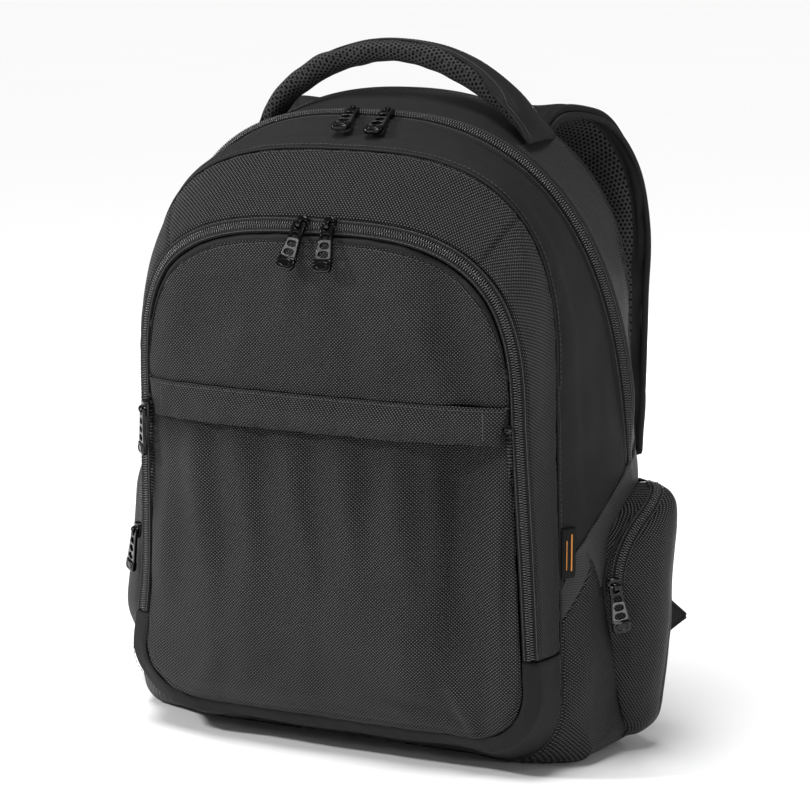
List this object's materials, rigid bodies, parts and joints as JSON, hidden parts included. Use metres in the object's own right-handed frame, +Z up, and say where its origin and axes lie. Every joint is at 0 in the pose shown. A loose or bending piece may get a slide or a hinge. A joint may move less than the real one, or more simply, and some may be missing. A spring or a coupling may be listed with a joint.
{
  "type": "laptop backpack",
  "caption": "Standing laptop backpack with arched main compartment, zipped front pocket with flap, side pockets, carrying handle and padded shoulder straps.",
  "frame": {"origin": "on the floor under the middle of the bag, 75 mm in front of the back seam", "axes": "+X to the right of someone facing the bag's front, +Y from the front to the back panel, +Z up"},
  "size_m": [0.4188, 0.2445, 0.4854],
  "materials": {
    "woven_nylon": "coarse plain weave, low sheen",
    "smooth_nylon": "fine weave, low sheen",
    "ribbed_nylon": "fine ribbed weave",
    "air_mesh": "padded honeycomb mesh, matte",
    "zipper_tape": "woven tape with a nylon coil",
    "metal": "gloss black",
    "buckle_plastic": "satin black",
    "label_cloth": "woven label with two plain orange stripes"
  },
  "bodies": {
    "bag": {"pocket_divider": "ribbed_nylon", "back_panel": "air_mesh", "front_gusset": "smooth_nylon", "main_zipper": "zipper_tape", "rear_gusset": "woven_nylon", "bottom_panel": "woven_nylon", "wing_right": "ribbed_nylon", "wing_left": "ribbed_nylon", "front_band": "woven_nylon", "front_zipper": "zipper_tape", "front_base": "smooth_nylon", "pocket_upper": "woven_nylon", "pocket_flap": "woven_nylon", "flap_zipper": "zipper_tape", "pocket_lower": "woven_nylon", "side_pocket_right": "woven_nylon", "side_zipper_right": "zipper_tape", "side_pocket_left": "woven_nylon", "side_zipper_left": "zipper_tape", "handle_grip": "air_mesh", "handle_band": "smooth_nylon", "label": "label_cloth", "shoulder_strap_right": "air_mesh", "strap_webbing_right": "smooth_nylon", "strap_buckle_right": "buckle_plastic", "strap_tab_right": "smooth_nylon", "shoulder_strap_left": "air_mesh", "strap_webbing_left": "smooth_nylon", "strap_buckle_left": "buckle_plastic", "strap_tab_left": "smooth_nylon", "slider_main_left": "metal", "slider_main_right": "metal", "slider_front_left": "metal", "slider_front_right": "metal", "slider_flap": "metal", "slider_side_right": "metal", "slider_side_left": "metal"},
    "pull_main_left": {"pull_main_left": "metal"},
    "pull_main_right": {"pull_main_right": "metal"},
    "pull_front_left": {"pull_front_left": "metal"},
    "pull_front_right": {"pull_front_right": "metal"},
    "pull_flap": {"pull_flap": "metal"},
    "pull_side_right": {"pull_side_right": "metal"},
    "pull_side_left": {"pull_side_left": "metal"}
  },
  "joints": [
    {"name": "pull_main_left_hinge", "type": "hinge", "parent": "bag", "child": "pull_main_left", "pos_m": [-0.00803, -0.00003, 0.43979], "axis": [-0.9926, -0.1157, -0.0365], "range_deg": [0, 150]},
    {"name": "pull_main_right_hinge", "type": "hinge", "parent": "bag", "child": "pull_main_right", "pos_m": [0.01774, -0.00022, 0.43957], "axis": [-0.9987, -0.0482, -0.0152], "range_deg": [0, 150]},
    {"name": "pull_front_left_hinge", "type": "hinge", "parent": "bag", "child": "pull_front_left", "pos_m": [-0.00978, -0.07729, 0.37078], "axis": [-0.9834, 0.0744, 0.1653], "range_deg": [0, 150]},
    {"name": "pull_front_right_hinge", "type": "hinge", "parent": "bag", "child": "pull_front_right", "pos_m": [0.01066, -0.0773, 0.37074], "axis": [-0.9992, -0.0165, -0.0366], "range_deg": [0, 150]},
    {"name": "pull_flap_hinge", "type": "hinge", "parent": "bag", "child": "pull_flap", "pos_m": [-0.13614, -0.06776, 0.235], "axis": [-0.696, 0.7158, 0.0565], "range_deg": [0, 120]},
    {"name": "pull_side_right_hinge", "type": "hinge", "parent": "bag", "child": "pull_side_right", "pos_m": [0.18118, 0.01179, 0.12552], "axis": [-0.7803, -0.605, -0.1583], "range_deg": [0, 120]},
    {"name": "pull_side_left_hinge", "type": "hinge", "parent": "bag", "child": "pull_side_left", "pos_m": [-0.19231, 0.01461, 0.12552], "axis": [-0.7803, 0.605, 0.1583], "range_deg": [0, 120]}
  ]
}
